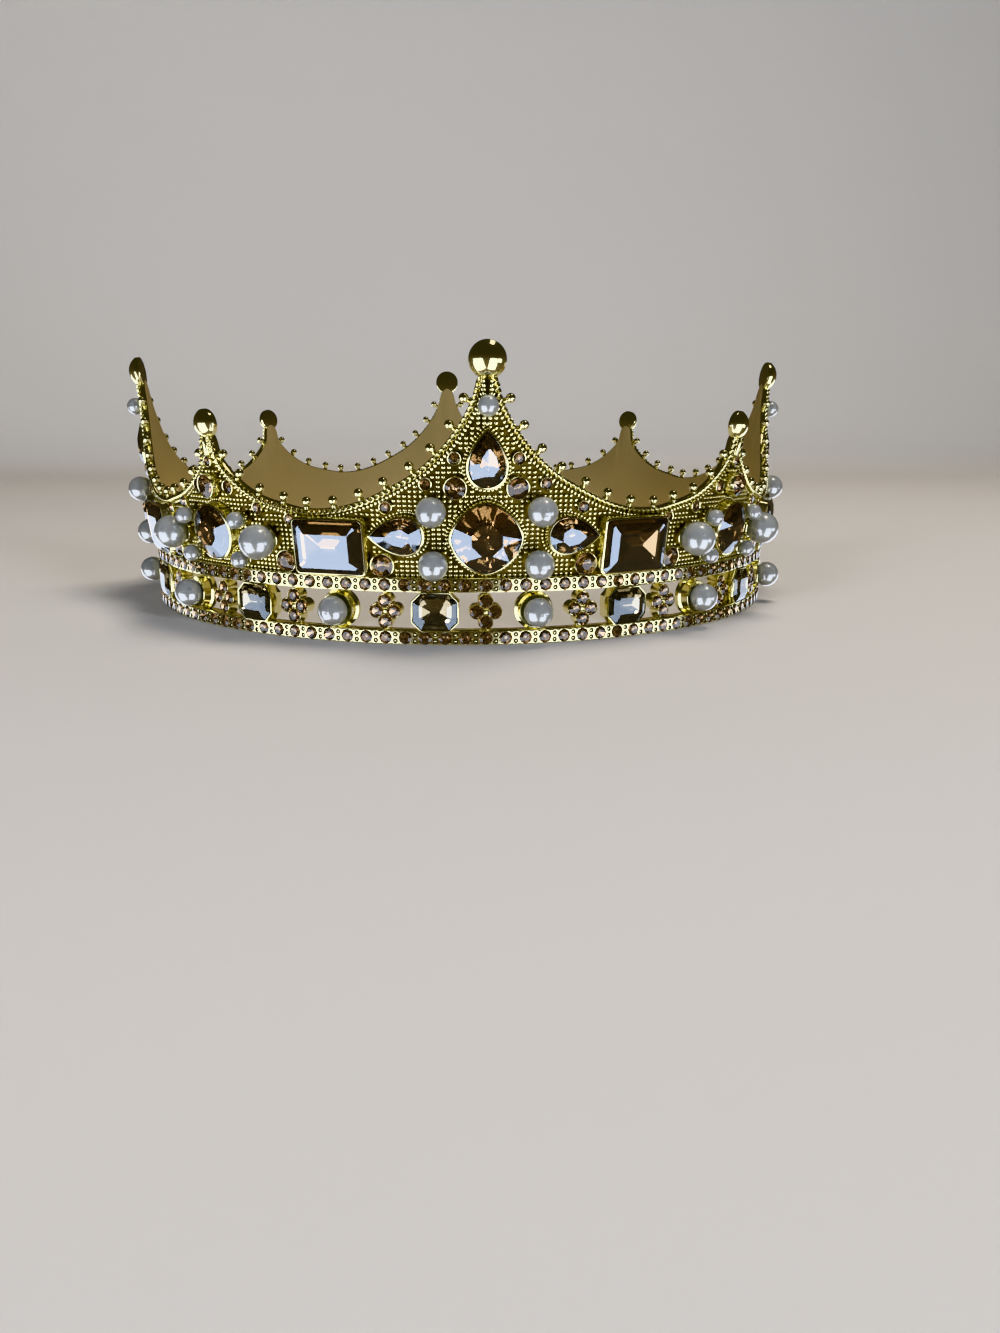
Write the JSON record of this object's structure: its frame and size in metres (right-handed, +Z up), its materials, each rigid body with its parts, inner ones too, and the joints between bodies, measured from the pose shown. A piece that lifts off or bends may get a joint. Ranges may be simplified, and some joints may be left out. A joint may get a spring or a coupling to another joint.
{
  "type": "costume crown",
  "caption": "Round open crown with tall and small peaks on a flared band, a pierced gallery between two straps, faceted stones in bezels and imitation pearls in cups.",
  "frame": {"origin": "centre of the circle that the lower strap's underside stands on", "axes": "+Z up through the open top, -Y towards the front tall peak, +X to the wearer's left"},
  "size_m": [0.1704, 0.1704, 0.059],
  "materials": {
    "gilt_metal": "cast, polished and gilt",
    "champagne_glass": "cut and polished, foiled back",
    "smoky_glass": "cut and polished, foiled back",
    "imitation_pearl": "pearl lacquer"
  },
  "bodies": {
    "root": {"crown_frame": "gilt_metal", "centre_stone_1": "champagne_glass", "centre_stone_2": "champagne_glass", "centre_stone_3": "champagne_glass", "centre_stone_4": "champagne_glass", "peak_pear_1": "champagne_glass", "peak_pear_2": "champagne_glass", "peak_pear_3": "champagne_glass", "peak_pear_4": "champagne_glass", "side_pear_1": "champagne_glass", "side_pear_2": "champagne_glass", "side_pear_3": "champagne_glass", "side_pear_4": "champagne_glass", "side_pear_5": "champagne_glass", "side_pear_6": "champagne_glass", "side_pear_7": "champagne_glass", "side_pear_8": "champagne_glass", "rectangle_stone_1": "champagne_glass", "rectangle_stone_2": "champagne_glass", "rectangle_stone_3": "champagne_glass", "rectangle_stone_4": "champagne_glass", "rectangle_stone_5": "champagne_glass", "rectangle_stone_6": "champagne_glass", "rectangle_stone_7": "champagne_glass", "rectangle_stone_8": "champagne_glass", "oval_stone_1": "champagne_glass", "oval_stone_2": "champagne_glass", "oval_stone_3": "champagne_glass", "oval_stone_4": "champagne_glass", "large_pearl_1": "imitation_pearl", "large_pearl_2": "imitation_pearl", "large_pearl_3": "imitation_pearl", "large_pearl_4": "imitation_pearl", "large_pearl_5": "imitation_pearl", "large_pearl_6": "imitation_pearl", "large_pearl_7": "imitation_pearl", "large_pearl_8": "imitation_pearl", "band_pearls": "imitation_pearl", "small_pearls": "imitation_pearl", "top_pearls": "imitation_pearl", "gallery_pearls": "imitation_pearl", "medium_rhinestones": "smoky_glass", "small_rhinestones": "smoky_glass", "gallery_stones": "champagne_glass"}
  },
  "joints": []
}
